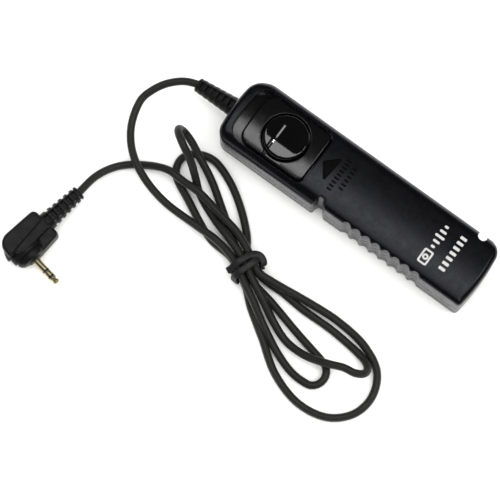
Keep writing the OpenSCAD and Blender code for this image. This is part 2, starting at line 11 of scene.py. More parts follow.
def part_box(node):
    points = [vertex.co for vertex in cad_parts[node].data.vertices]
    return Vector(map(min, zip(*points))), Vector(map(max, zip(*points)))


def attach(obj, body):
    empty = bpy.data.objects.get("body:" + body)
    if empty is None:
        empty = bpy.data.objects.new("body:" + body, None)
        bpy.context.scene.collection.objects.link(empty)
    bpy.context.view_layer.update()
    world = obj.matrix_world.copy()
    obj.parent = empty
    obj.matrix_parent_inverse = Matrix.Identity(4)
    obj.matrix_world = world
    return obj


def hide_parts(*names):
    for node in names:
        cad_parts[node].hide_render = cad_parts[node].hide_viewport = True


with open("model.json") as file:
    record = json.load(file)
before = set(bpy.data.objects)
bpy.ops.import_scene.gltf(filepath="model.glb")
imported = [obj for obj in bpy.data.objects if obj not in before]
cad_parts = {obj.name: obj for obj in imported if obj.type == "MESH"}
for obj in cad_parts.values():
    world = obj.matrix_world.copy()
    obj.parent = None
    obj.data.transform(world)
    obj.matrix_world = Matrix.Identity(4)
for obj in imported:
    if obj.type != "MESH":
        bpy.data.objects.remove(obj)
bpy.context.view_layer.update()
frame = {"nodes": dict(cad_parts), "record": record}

# Shapes are worked out in millimetres in the row frame, and become metres in add_piece.
MM = 0.001


def span(*nodes):
    """Lowest and highest corner of some CAD nodes, in millimetres."""
    corners = [[c / MM for c in corner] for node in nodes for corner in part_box(node)]
    return np.min(corners, axis=0), np.max(corners, axis=0)


# ---- sizes of the hand piece, read from the frame or repeated from the design ----

HAND_HIGH = span("top_shell", "bottom_shell")[1]
HALF_LEN = HAND_HIGH[0]
HALF_W = HAND_HIGH[1]
BODY_H = HAND_HIGH[2]
SEAM = span("bottom_shell")[1][2]
WALL = 1.6
CROWN_R = 85.0           # the top face is part of a cylinder this big
END_R = 70.0             # both ends bulge to this radius in plan
GRIP_Y = HALF_W - 0.9    # the scalloped side stands back from the plain one
GRIP_FROM = -7.2         # the scalloped side starts here, inside the cable slot
SIDE_ROLL = 3.3          # the long edges roll over to this radius
END_ROLL = 2.0
GRIP_ROLL = 1.4
LIP = 0.3                # rounding of the edges of notches and openings
GROOVE, GROOVE_DEPTH = 0.17, 0.32    # half the width and the depth of the groove at the parting line
STEP_Z = 4.1             # a fine step runs along the -Y side of the bottom shell
SLOT_MOUTH = (-9.1, -4.9)
SLOT_INNER = (-8.6, -6.9, 3.45)      # its inner end, and how deep that lies
HOLDER_X, HOLDER_Y, HOLDER_R = 40.4, 11.45, 1.75
SCALLOPS, SCALLOP_PITCH, SCALLOP_R, SCALLOP_DEPTH = 8, 3.77, 1.75, 0.95
FIRST_SCALLOP_X = 3.7
CASE_SCREW_X = (12.0, 37.0)
COUNTERBORE_R, COUNTERBORE_TOP, BOSS_R = 2.0, 3.0, 2.6

RECESS_X = (-43.9, -15.7)
RECESS_HALF_W = 9.7
RECESS_DEPTH = 2.2
ROOF = 14.2
OPENING_R, LOCK_TRAVEL = 8.6, 2.2
PLATE_LOW, PLATE_HIGH = span("lock_slider")
PLATE_X = (-40.4, -16.1)
PLATE_HALF_W = PLATE_HIGH[1]
PLATE_BASE = 15.5
PLATE_DROP = 0.25
CUP_R, BORE_R = 8.4, 7.8
CUP_FLOOR = (PLATE_LOW[2], PLATE_LOW[2] + 1)
BUTTON_LOW, BUTTON_HIGH = span("release_button")
BUTTON_X = (BUTTON_LOW[0] + BUTTON_HIGH[0]) / 2
BUTTON_R = (BUTTON_HIGH[0] - BUTTON_LOW[0]) / 2
BUTTON_TOP = 18.1
RIB_X, RIB_END_Y = -31.0, 3.4
RIB_HALF_W, RIB_H = 0.75, 0.27
PLUNGER_HOLE_R = 2.1

BOOT_Z, BOOT_LEN, BOOT_YAW, BOOT_DROOP = 8.6, 14.8, math.radians(2.2), math.radians(5)
PLUG_H = span("plug_body")[1][2]
PLUG_POS = Vector((-71.0, -76.7, PLUG_H / 2))
PLUG_TURN = math.radians(-10)
RELIEF_X, RELIEF_Y, RELIEF_LEN = -6.1, 11.2, 13.9
CABLE_D = 2.6

# ---- camera, at the photograph's viewing angle ----

CAMERA_AZIMUTH = math.radians(36.42)
CAMERA_ELEVATION = math.radians(79.12)
CAMERA_TARGET = Vector((-0.01789, -0.03312, 0.0))
CAMERA_DISTANCE = 0.7085
CAMERA_LENS = 159.2


def aim(azimuth, elevation):
    """Unit vector from the scene's middle towards a camera or light in that direction."""
    flat = math.cos(elevation)
    return Vector((math.sin(azimuth) * flat, -math.cos(azimuth) * flat, math.sin(elevation)))


def add_camera():
    data = bpy.data.cameras.new("camera")
    data.lens = CAMERA_LENS
    data.clip_start = 0.01
    camera = bpy.data.objects.new("camera", data)
    back = aim(CAMERA_AZIMUTH, CAMERA_ELEVATION)
    right = Vector((math.cos(CAMERA_AZIMUTH), math.sin(CAMERA_AZIMUTH), 0))
    turn = Matrix((right, back.cross(right), back)).transposed()
    camera.matrix_world = Matrix.Translation(CAMERA_TARGET + back * CAMERA_DISTANCE) @ turn.to_4x4()
    bpy.context.scene.collection.objects.link(camera)
    bpy.context.scene.camera = camera


add_camera()

# ---- materials ----


def node_material(name, colour, roughness, metallic=0.0, grain=0.0, grain_size=0.2,
                  mottle=0.12, blotch=6.0, streak=None, specular=0.5, tint=(1.0, 1.0, 1.0)):
    """A moulded, rolled or plated finish: mottled colour and gloss, with a fine raised grain.

    Sizes are in millimetres. streak stretches the grain along one axis, as brushing does."""
    material = bpy.data.materials.new(name)
    material.use_nodes = True
    nodes, links = material.node_tree.nodes, material.node_tree.links
    shader = nodes["Principled BSDF"]
    shader.inputs["Metallic"].default_value = metallic
    shader.inputs["Specular IOR Level"].default_value = specular
    shader.inputs["Specular Tint"].default_value = (*tint, 1)
    place = nodes.new("ShaderNodeTexCoord").outputs["Object"]

    def noise(size, detail, stretch=None):
        texture = nodes.new("ShaderNodeTexNoise")
        texture.inputs["Scale"].default_value = 1.0
        texture.inputs["Detail"].default_value = detail
        mapping = nodes.new("ShaderNodeMapping")
        scale = 1 / (size * MM)
        mapping.inputs["Scale"].default_value = [scale / s for s in (stretch or (1, 1, 1))]
        links.new(place, mapping.inputs["Vector"])
        links.new(mapping.outputs["Vector"], texture.inputs["Vector"])
        return texture.outputs["Fac"]

    def spread(factor, low, high):
        remap = nodes.new("ShaderNodeMapRange")
        remap.inputs["From Min"].default_value = 0.3
        remap.inputs["From Max"].default_value = 0.7
        remap.inputs["To Min"].default_value = low
        remap.inputs["To Max"].default_value = high
        links.new(factor, remap.inputs["Value"])
        return remap.outputs["Result"]

    patches = noise(blotch, 4)
    mix = nodes.new("ShaderNodeMix")
    mix.data_type = "RGBA"
    mix.inputs["A"].default_value = [c * (1 - mottle) for c in colour] + [1]
    mix.inputs["B"].default_value = [min(1, c * (1 + mottle)) for c in colour] + [1]
    links.new(spread(patches, 0, 1), mix.inputs["Factor"])
    links.new(mix.outputs["Result"], shader.inputs["Base Color"])
    wear = noise(blotch * 0.35, 6)
    links.new(spread(wear, roughness * 0.88, roughness * 1.14), shader.inputs["Roughness"])
    if grain:
        bump = nodes.new("ShaderNodeBump")
        bump.inputs["Strength"].default_value = 1.0
        bump.inputs["Distance"].default_value = grain * MM
        links.new(noise(grain_size, 3, streak), bump.inputs["Height"])
        links.new(bump.outputs["Normal"], shader.inputs["Normal"])
    return material


MATERIALS = {
    "shell": node_material("shell", (0.0014, 0.0015, 0.0022), 0.27, grain=0.004, grain_size=0.28,
                           specular=0.29, tint=(0.9, 0.91, 1.0)),
    "gloss": node_material("gloss", (0.0016, 0.0016, 0.0018), 0.15, grain=0.0006, grain_size=1.5),
    "button_gloss": node_material("button_gloss", (0.0012, 0.0012, 0.0013), 0.035, grain=0.0002,
                                  grain_size=2.0),
    "dull_black": node_material("dull_black", (0.001, 0.001, 0.0012), 0.5, grain=0.002,
                                specular=0.07),
    "boot": node_material("boot", (0.0042, 0.0042, 0.0040), 0.4, grain=0.012, grain_size=0.35,
                          specular=0.26),
    "jacket": node_material("jacket", (0.0118, 0.0118, 0.0106), 0.42, grain=0.012, grain_size=0.5,
                            specular=0.35),
    "tie": node_material("tie", (0.009, 0.009, 0.0095), 0.4, grain=0.01, grain_size=0.4,
                         specular=0.35),
    "gold": node_material("gold", (0.62, 0.55, 0.36), 0.4, metallic=1.0, grain=0.002,
                          grain_size=0.15, mottle=0.06),
    "insulator": node_material("insulator", (0.006, 0.006, 0.006), 0.25, grain=0.003),
    "print_white": node_material("print_white", (0.40, 0.40, 0.39), 0.45, grain=0.004,
                                 grain_size=0.2, mottle=0.06, blotch=1.5),
    "spring_bronze": node_material("spring_bronze", (0.72, 0.48, 0.22), 0.3, metallic=1.0,
                                   grain=0.004, streak=(12, 1, 1)),
    "steel": node_material("steel", (0.55, 0.56, 0.58), 0.32, metallic=1.0, grain=0.004,
                           streak=(8, 1, 1)),
    "dark_screw": node_material("dark_screw", (0.06, 0.06, 0.065), 0.35, metallic=1.0, grain=0.004),
    "white_plastic": node_material("white_plastic", (0.74, 0.74, 0.70), 0.4, grain=0.006),
    "laminate": node_material("laminate", (0.42, 0.33, 0.17), 0.55, grain=0.01, mottle=0.25,
                              blotch=2.0, streak=(6, 6, 1)),
    "inner_plastic": node_material("inner_plastic", (0.03, 0.03, 0.032), 0.5, grain=0.01),
    "wire_red": node_material("wire_red", (0.45, 0.02, 0.015), 0.38, grain=0.006),
    "wire_white": node_material("wire_white", (0.72, 0.72, 0.70), 0.38, grain=0.006),
    "wire_yellow": node_material("wire_yellow", (0.72, 0.50, 0.05), 0.38, grain=0.006),
    "solder": node_material("solder", (0.60, 0.61, 0.63), 0.22, metallic=1.0, grain=0.02,
                            grain_size=0.4),
}

for part in frame["record"]["subparts"]:
    mesh = frame["nodes"][part["node"]].data
    mesh.materials.clear()
    mesh.materials.append(MATERIALS[part["material_slot"]])

# ---- pieces ----


def slot_of(node):
    """The record's material slot of a CAD node."""
    return next(p["material_slot"] for p in frame["record"]["subparts"] if p["node"] == node)


def body_of_node(node):
    """The record's body that a CAD node belongs to."""
    return next(b for b, nodes in frame["record"]["behaviour"]["bodies"].items() if node in nodes)


def add_piece(name, points, faces, node, materials=None, face_slots=None, replaces=True, crease=35):
    """A mesh piece, given in millimetres, that rides with a CAD node's body and takes its slot."""
    mesh = bpy.data.meshes.new(name)
    mesh.from_pydata([[c * MM for c in p] for p in points], [], faces)
    shape = bmesh.new()
    shape.from_mesh(mesh)
    bmesh.ops.remove_doubles(shape, verts=shape.verts, dist=0.0005 * MM)
    bmesh.ops.recalc_face_normals(shape, faces=shape.faces)
    shape.to_mesh(mesh)
    shape.free()
    for material in materials or [slot_of(node)]:
        mesh.materials.append(MATERIALS[material])
    if face_slots is not None:
        for polygon, choice in zip(mesh.polygons, face_slots(mesh)):
            polygon.material_index = int(choice)
    mesh.shade_smooth()
    mesh.set_sharp_from_angle(angle=math.radians(crease))
    piece = bpy.data.objects.new(name, mesh)
    bpy.context.scene.collection.objects.link(piece)
    dress(piece, node, replaces)
    return piece


def dress(piece, node, replaces=True):
    """Puts a piece on the CAD node's body and, unless told otherwise, in its place."""
    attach(piece, body_of_node(node))
    if replaces:
        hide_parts(node)


# ---- the cable ----

KNOT, ALONG, ACROSS = (-15, -39), (0.89, -0.46), (0.46, 0.89)
LANE, LOW, HIGH, HALF_PASS = 2.8, 2.4, 5.1, 5


def at_pass(u, v, z):
    """A point of the bundle: u along it, v across it."""
    return (KNOT[0] + u * ALONG[0] + v * ACROSS[0], KNOT[1] + u * ALONG[1] + v * ACROSS[1], z)


def boot_point(along):
    """A point on the hand piece's strain relief, that far from the cable end."""
    flat = along * math.cos(BOOT_DROOP)
    return (-HALF_LEN - flat * math.cos(BOOT_YAW), -flat * math.sin(BOOT_YAW),
            BOOT_Z - along * math.sin(BOOT_DROOP))


def plug_point(x, y, z=0.0):
    """A point of the plug's own frame: +X along the pin, +Y along the cable."""
    return tuple(PLUG_POS + Matrix.Rotation(PLUG_TURN, 3, "Z") @ Vector((x, y, z)))


BODY_LEAD = [
    boot_point(BOOT_LEN), (-67.2, -2.4, 6.9), (-71.5, -6.6, 6.4), (-73.9, -11.2, 5.9),
    (-74.8, -15.2, 5.3), (-72.3, -23.7, 4.6), (-66.9, -30.3, 4.3), (-59, -34.8, 4.1),
    (-48.9, -37.3, 3.8), (-37, -37.5, 3.6), (-28, -37.6, 4.4),
    at_pass(-HALF_PASS, -LANE, HIGH), at_pass(HALF_PASS, -LANE, HIGH)]
SMALL_LOOP = [
    (-7, -46.4, 4.4), (0, -50.4, 2.4), (9.2, -55, 1.4), (16.4, -57.3, 1.4), (20.7, -57.5, 1.4),
    (23.6, -57, 1.4), (25.2, -55.4, 1.4), (25.8, -53.1, 1.4), (25.2, -50.9, 1.4), (23.6, -49.2, 1.4),
    (21.3, -48.5, 1.4), (10, -46, 1.4), (-2, -43, 1.5), at_pass(HALF_PASS, 0, LOW),
    at_pass(-HALF_PASS, 0, LOW)]
TALL_LOOP = [
    (-25, -33.3, 1.5), (-33, -27.8, 1.4), (-41, -22.5, 1.8), (-47.9, -19.2, 4.1),
    (-53.5, -16.4, 4), (-57, -15.4, 5.4), (-58.6, -16, 8.4), (-57.6, -17.7, 11.3),
    (-54.7, -19.7, 12.4), (-49.6, -22.3, 9.2), (-45.8, -24.9, 4.6), (-41.5, -28.2, 1.6),
    (-33, -32, 2.2), (-26, -34.4, 4.8), at_pass(-HALF_PASS, 0, HIGH), at_pass(HALF_PASS, 0, HIGH)]
MIDDLE_LOOP = [
    (-5.3, -43.9, 4.6), (1, -47.2, 2.4), (9, -50.3, 1.6), (17, -50.6, 3.4), (24.2, -48.8, 6.2),
    (29, -47, 7.2), (32.6, -46.3, 6.6), (34.9, -44.8, 5.4), (35.3, -42.9, 3.8), (33.6, -41, 2.4),
    (30.6, -40, 1.5), (19, -38.8, 1.4), (7, -38.9, 1.4), (-1.5, -38.3, 1.5), (-5.4, -38.5, 2),
    at_pass(3.3, LANE, LOW), at_pass(-HALF_PASS, LANE, LOW)]
WIDE_LOOP = [
    (-20.8, -30.7, 1.6), (-27.6, -24.6, 1.4), (-36.4, -19.1, 1.4), (-45, -16.6, 1.4),
    (-50.6, -18.5, 1.4), (-53.3, -22.4, 1.4), (-51.9, -27.2, 1.4), (-42.7, -32.3, 1.4),
    (-30, -38, 1.4), at_pass(-HALF_PASS, -LANE, LOW), at_pass(HALF_PASS, -LANE, LOW)]
OUTER_LOOP = [
    (-6.6, -48.1, 1.5), (2.3, -54, 1.4), (12.4, -60.8, 1.4), (24, -64, 1.4), (34, -62, 1.4),
    (40, -56, 1.4), (41.3, -48.5, 1.4), (38, -41.2, 1.4), (30, -36.8, 1.4), (18, -35.3, 1.4),
    (6, -36.3, 2.7), (-1.0, -37.3, 4.0), (-5.8, -37.9, 4.7), at_pass(3.3, LANE, HIGH),
    at_pass(-HALF_PASS, LANE, HIGH)]
PLUG_LEAD = [
    (-24, -31.7, 5), (-33, -30, 4.9), (-42, -28.4, 5.1), (-48, -28.5, 4.6), (-54, -28.3, 4.2),
    (-62, -31.3, 1.4), (-68.5, -36.8, 1.4), (-71.8, -43.5, 2.4),
    plug_point(RELIEF_X, RELIEF_Y + RELIEF_LEN)]
ROUTE = BODY_LEAD + SMALL_LOOP + TALL_LOOP + MIDDLE_LOOP + WIDE_LOOP + OUTER_LOOP + PLUG_LEAD


def smooth_line(points, spacing):
    """Centripetal Catmull-Rom curve through the points, sampled about every spacing, or without
    one at eight steps from each point to the next."""
    p = np.array(points, float)
    p = np.vstack([2 * p[0] - p[1], p, 2 * p[-1] - p[-2]])
    line = []
    for a, b, c, d in zip(p, p[1:], p[2:], p[3:]):
        t1 = max(np.linalg.norm(b - a), 0.1) ** 0.5
        t2 = t1 + max(np.linalg.norm(c - b), 0.1) ** 0.5
        t3 = t2 + max(np.linalg.norm(d - c), 0.1) ** 0.5
        count = max(2, round(np.linalg.norm(c - b) / spacing)) if spacing else 8
        for t in np.linspace(t1, t2, count, endpoint=False):
            ab = a + (b - a) * t / t1
            bc = b + (c - b) * (t - t1) / (t2 - t1)
            cd = c + (d - c) * (t - t2) / (t3 - t2)
            abc = ab + (bc - ab) * t / t2
            bcd = bc + (cd - bc) * (t - t1) / (t3 - t1)
            line.append(abc + (bcd - abc) * (t - t1) / (t2 - t1))
    return np.vstack([line, p[-2]])


def add_cable():
    """One smooth jacket from boot to boot; its ends sit a millimetre inside the mouldings."""
    inside = 1.0
    route = [boot_point(BOOT_LEN - inside), *ROUTE, plug_point(RELIEF_X, RELIEF_Y + RELIEF_LEN - inside)]
    line = smooth_line(route, 1.0)
    line[:, 2] = np.maximum(line[:, 2], CABLE_D / 2 + 0.02)
    curve = bpy.data.curves.new("cable_jacket", "CURVE")
    curve.dimensions = "3D"
    curve.bevel_depth = CABLE_D / 2 * MM
    curve.bevel_resolution = 5
    curve.use_fill_caps = True
    spline = curve.splines.new("POLY")
    spline.points.add(len(line) - 1)
    for point, place in zip(spline.points, line):
        point.co = (*(place * MM), 1)
    curve.materials.append(MATERIALS["jacket"])
    piece = bpy.data.objects.new("cable_jacket", curve)
    bpy.context.scene.collection.objects.link(piece)
    dress(piece, "cable")
    return piece


cable_jacket = add_cable()

# ---- flat outlines ----

STEP = 0.24              # distance between an outline's points


def rounded(corners):
    """A closed outline through (x, y, radius) corners."""
    outline = []
    for k, (x, y, r) in enumerate(corners):
        here = np.array((x, y), float)
        if r == 0:
            outline.append(here)
            continue
        before = np.array(corners[k - 1][:2]) - here
        after = np.array(corners[(k + 1) % len(corners)][:2]) - here
        before /= np.linalg.norm(before)
        after /= np.linalg.norm(after)
        half = math.acos(np.clip(before @ after, -1, 1)) / 2
        middle = before + after
        centre = here + middle / np.linalg.norm(middle) * r / math.sin(half)
        first = here + before * r / math.tan(half) - centre
        last = here + after * r / math.tan(half) - centre
        start = math.atan2(first[1], first[0])
        turn = (math.atan2(last[1], last[0]) - start + math.pi) % (2 * math.pi) - math.pi
        for t in np.linspace(start, start + turn, 2 + round(r * abs(turn) / STEP)):
            outline.append(centre + r * np.array((math.cos(t), math.sin(t))))
    return np.array(outline)


def resampled(outline, step=STEP):
    """The same closed outline with evenly spaced points."""
    closed = np.vstack([outline, outline[:1]])
    reach = np.concatenate([[0], np.cumsum(np.linalg.norm(np.diff(closed, axis=0), axis=1))])
    stops = np.linspace(0, reach[-1], round(reach[-1] / step), endpoint=False)
    return np.column_stack([np.interp(stops, reach, closed[:, k]) for k in (0, 1)])


def softened(values, passes):
    """Values along a closed outline, each averaged with its neighbours that many times."""
    for _ in range(passes):
        values = (np.roll(values, 1, 0) + 2 * values + np.roll(values, -1, 0)) / 4
    return values


def inset(outline, distance):
    """The outline moved inwards by one distance, or by one for each point."""
    run = np.roll(outline, -1, 0) - np.roll(outline, 1, 0)
    inward = np.column_stack([-run[:, 1], run[:, 0]]) / np.linalg.norm(run, axis=1)[:, None]
    return outline + inward * np.broadcast_to(distance, len(outline))[:, None]


def groove_depths(outline, depth):
    """Inset for each point: the full depth, but less round corners too sharp to take it."""
    run = np.roll(outline, -1, 0) - outline
    length = np.linalg.norm(run, axis=1)
    heading = np.arctan2(run[:, 1], run[:, 0])
    bend = (heading - np.roll(heading, 1) + math.pi) % (2 * math.pi) - math.pi
    depths = np.minimum(depth, 0.6 * length / np.maximum(bend, 1e-6))
    for _ in range(12):
        for side in (1, -1):
            depths = np.minimum(depths, np.roll(depths, side) + 0.5 * length)
    return depths


def circle(x, y, r, step=STEP):
    turns = np.linspace(0, 2 * math.pi, max(24, round(2 * math.pi * r / step)), endpoint=False)
    return np.column_stack([x + r * np.cos(turns), y + r * np.sin(turns)])


def cut_arc(x, y, r, start, end):
    """Points of a round notch, as corners with no radius of their own."""
    turns = np.radians(np.linspace(start, end, round(abs(end - start) / 6)))
    return [(x + r * math.cos(t), y + r * math.sin(t), 0) for t in turns]


def bulged(outline):
    """Both ends of the hand piece's outline bent outwards in the middle."""
    bent = outline.copy()
    weight = np.clip((abs(bent[:, 0]) - HALF_LEN + 12) / 12, 0, 1)
    bent[:, 0] -= np.sign(bent[:, 0]) * weight * bent[:, 1] ** 2 / (2 * END_R)
    return bent


def hand_outline(lower, notched):
    """The hand piece seen from above, with its -Y side at -lower or with its real notches."""
    lower_right = [(HALF_LEN, -lower, 1.2)]
    left = [(HALF_LEN, HALF_W, 4.5)]
    start = [(-HALF_LEN, HALF_W, 6.6), (-HALF_LEN, -HALF_W, 4)]
    if not notched:
        corners = [start[0], (-HALF_LEN, -lower, start[1][2]), *lower_right, *left]
        return resampled(bulged(resampled(rounded(corners))))
    slot_end = SLOT_INNER[2] - HALF_W
    slot = [(SLOT_MOUTH[0], -HALF_W, 0.5), (SLOT_INNER[0], slot_end, 0.75),
            (SLOT_INNER[1], slot_end, 0.75), (SLOT_MOUTH[1], -lower, 0.5)]
    rise = SCALLOP_R - SCALLOP_DEPTH
    spread = math.degrees(math.asin(rise / SCALLOP_R))
    scallops = [c for k in range(SCALLOPS)
                for c in cut_arc(FIRST_SCALLOP_X + k * SCALLOP_PITCH, -lower - rise, SCALLOP_R,
                                 180 - spread, spread)]
    edge = math.degrees(math.asin((HALF_W - HOLDER_Y) / HOLDER_R))
    holder = cut_arc(HOLDER_X, HOLDER_Y, HOLDER_R, edge, -180 - edge)
    corners = [*start, *slot, *scallops, *lower_right, *left, *holder]
    return softened(resampled(bulged(resampled(rounded(corners), 0.12))), 1)


# ---- rolled edges ----


def inside(points, loop):
    """Which points lie within a closed loop."""
    found = []
    ax, ay = loop[:, 0], loop[:, 1]
    bx, by = np.roll(ax, -1), np.roll(ay, -1)
    rise = np.where(by == ay, 1, by - ay)
    for part in np.array_split(points, 1 + len(points) // 1500):
        x, y = part[:, 0, None], part[:, 1, None]
        crosses = ((ay > y) != (by > y)) & (x < (bx - ax) * (y - ay) / rise + ax)
        found.append(crosses.sum(1) % 2 == 1)
    return np.concatenate(found)


def nearest(points, loop):
    """Each point's distance to a closed loop, and the loop's point nearest to it."""
    gaps, places = [], []
    for part in np.array_split(points, 1 + len(points) // 1500):
        square = ((part[:, None] - loop[None]) ** 2).sum(2)
        k = square.argmin(1)
        best = square[np.arange(len(part)), k]
        for step in (-1, 1):
            start, run = loop[k], loop[(k + step) % len(loop)] - loop[k]
            t = np.clip(((part - start) * run).sum(1) / (run ** 2).sum(1), 0, 1)
            best = np.minimum(best, ((part - start - t[:, None] * run) ** 2).sum(1))
        gaps.append(np.sqrt(best))
        places.append(k)
    return np.concatenate(gaps), np.concatenate(places)


class Rim:
    """A closed edge that is rolled over to a radius, which may change along it."""

    def __init__(self, loop, radii, outer=True):
        self.loop = loop
        self.radii = np.broadcast_to(radii, len(loop)).astype(float)
        self.outer = outer

    def drop(self, points):
        """How far the surface falls at each point because of this edge."""
        gap, k = nearest(points, self.loop)
        r = np.maximum(self.radii[k], 1e-6)
        short = r - np.minimum(gap, r)
        return r - np.sqrt(r ** 2 - short ** 2)

    def rows(self, count):
        """Points on the rolled strip, row by row, spaced by equal turns."""
        sign = 1 if self.outer else -1
        turns = [math.pi / 2 * (k + 1) / count for k in range(count)]
        strips = [inset(self.loop, sign * self.radii * (1 - math.cos(t))) for t in turns]
        wide = self.radii > 0.05
        return np.vstack([strip[wide] for strip in strips])


def crown(y):
    return BODY_H - CROWN_R + np.sqrt(CROWN_R ** 2 - y ** 2)


def hand_radii(loop, grip):
    """Edge radius along the hand piece's outline: full on the long sides, small on the grip."""
    radii = np.where(abs(loop[:, 0]) > HALF_LEN - 3, END_ROLL, SIDE_ROLL)
    if grip:
        radii = np.where((loop[:, 1] < -GRIP_Y + 1.5) & (loop[:, 0] < HALF_LEN - 0.3), GRIP_ROLL, radii)
    return softened(radii, 60 if not grip else 24)


OUTLINE = hand_outline(GRIP_Y, True)
PLAIN_RIM = Rim(hand_outline(HALF_W, False), 0)
PLAIN_RIM.radii = hand_radii(PLAIN_RIM.loop, False)
GRIP_RIM = Rim(hand_outline(GRIP_Y, False), 0)
GRIP_RIM.radii = hand_radii(GRIP_RIM.loop, True)


def hand_drop(points):
    """How far the hand piece's main edges make its top or bottom face fall."""
    drop = PLAIN_RIM.drop(points)
    grip = points[:, 0] > GRIP_FROM
    drop[grip] = GRIP_RIM.drop(points[grip])
    return drop


def notch_rim():
    """The real outline, whose edge is lipped only where it leaves the plain one."""
    depth = np.where(OUTLINE[:, 0] > GRIP_FROM, nearest(OUTLINE, GRIP_RIM.loop)[0],
                     nearest(OUTLINE, PLAIN_RIM.loop)[0])
    return Rim(OUTLINE, LIP * 0.7 * np.clip((depth - 0.02) / 0.3, 0, 1))


NOTCH_RIM = notch_rim()


def hand_rows():
    """Points on the main rolled edges, each from the rim that holds there."""
    plain, grip = PLAIN_RIM.rows(9), GRIP_RIM.rows(9)
    return np.vstack([plain[plain[:, 0] < GRIP_FROM], grip[grip[:, 0] >= GRIP_FROM]])


# ---- solids, gathered ring by ring ----


class Solid:
    """Points in millimetres and the faces between them."""

    def __init__(self):
        self.points = []
        self.faces = []

    def ring(self, outline, z):
        first = len(self.points)
        heights = np.broadcast_to(z, len(outline))
        self.points += [(x, y, h) for (x, y), h in zip(outline, heights)]
        return list(range(first, len(self.points)))

    def walls(self, *rings):
        for low, high in zip(rings, rings[1:]):
            for i in range(len(low)):
                j = (i + 1) % len(low)
                self.faces.append((low[i], low[j], high[j], high[i]))

    def fill(self, outer, holes=(), height=None, extra=(), spacing=None):
        """Closes the flat region between rings. height shapes it, over extra points and a grid."""
        loops = [outer, *holes]
        flat = [np.array([self.points[i][:2] for i in loop]) for loop in loops]
        keep = [np.empty((0, 2))]
        for points, margin in [(np.array(extra).reshape(-1, 2), 0.02), (grid(flat[0], spacing), 0.5)]:
            if len(points):
                within = inside(points, flat[0])
                for loop in flat:
                    within &= nearest(points, loop)[0] > margin * (1 if margin < 0.1 else spacing)
                for loop in flat[1:]:
                    within &= ~inside(points, loop)
                keep.append(points[within])
        keep = np.vstack(keep)
        ids = [i for loop in loops for i in loop]
        edges, start = [], 0
        for loop in loops:
            edges += [(start + k, start + (k + 1) % len(loop)) for k in range(len(loop))]
            start += len(loop)
        xy = [Vector(p) for loop in flat for p in loop] + [Vector(p) for p in keep]
        placed, _, triangles, origin, _, _ = delaunay_2d_cdt(xy, edges, [], 0, 1e-6)
        heights = height(keep) if len(keep) else []
        first = len(self.points)
        self.points += [(x, y, z) for (x, y), z in zip(keep, heights)]
        name = [min(o) for o in origin]
        name = [ids[n] if n < len(ids) else first + n - len(ids) for n in name]
        centres = np.array([np.mean([placed[i] for i in t], axis=0) for t in triangles])
        within = inside(centres, flat[0])
        for loop in flat[1:]:
            within &= ~inside(centres, loop)
        self.faces += [tuple(name[i] for i in t) for t, good in zip(triangles, within) if good]


def grid(loop, spacing):
    """A square grid over a loop's box."""
    if spacing is None:
        return np.empty((0, 2))
    low, high = loop.min(0), loop.max(0)
    x, y = np.meshgrid(np.arange(low[0], high[0], spacing), np.arange(low[1], high[1], spacing))
    return np.column_stack([x.ravel(), y.ravel()])


# ---- the two shells ----

CAVITY = resampled(rounded([
    (46.2, -9.4, 1), (46.2, 7.9, 1.5), (-46.2, 9.8, 3.5), (-46.2, -9.8, 3.5), (-10.7, -9.8, 0.5),
    (-10.7, -7.0, 0.8), (-3.4, -7.0, 0.8), (-3.4, -9.4, 0.5)]), 0.8)
OPENING = resampled(rounded([
    (BUTTON_X + OPENING_R, -OPENING_R, OPENING_R - 0.01), (BUTTON_X + OPENING_R, OPENING_R, OPENING_R - 0.01),
    (BUTTON_X - OPENING_R - LOCK_TRAVEL, OPENING_R, OPENING_R - 0.01),
    (BUTTON_X - OPENING_R - LOCK_TRAVEL, -OPENING_R, OPENING_R - 0.01)]))


def panel_outline(x, half_w, cable_corner, far_corner, bow):
    """The recess or the plate in it: the cable end bows out, and its corners are rounder."""
    outline = resampled(rounded([
        (x[1], half_w, far_corner), (x[0], half_w, cable_corner), (x[0], -half_w, cable_corner),
        (x[1], -half_w, far_corner)]))
    middle = (x[0] + x[1]) / 2
    weight = np.clip((middle - outline[:, 0]) / (middle - x[0]), 0, 1) ** 3
    outline[:, 0] -= bow * weight * (1 - (outline[:, 1] / half_w) ** 2)
    return outline


RECESS_RIM = Rim(panel_outline(RECESS_X, RECESS_HALF_W, 4.2, 2.6, 0.6), LIP, outer=False)
ARROW = resampled(rounded([(-14.4, 0.8, 0.7), (-10.4, -4.9, 0.5), (-9.6, 5.3, 0.5)]))
ARROW_DEPTH = 0.22


def top_height(points):
    height = crown(points[:, 1]) - hand_drop(points)
    for rim in (NOTCH_RIM, RECESS_RIM):
        height -= rim.drop(points)
    return height


def floor_height(points):
    return crown(points[:, 1]) - RECESS_DEPTH


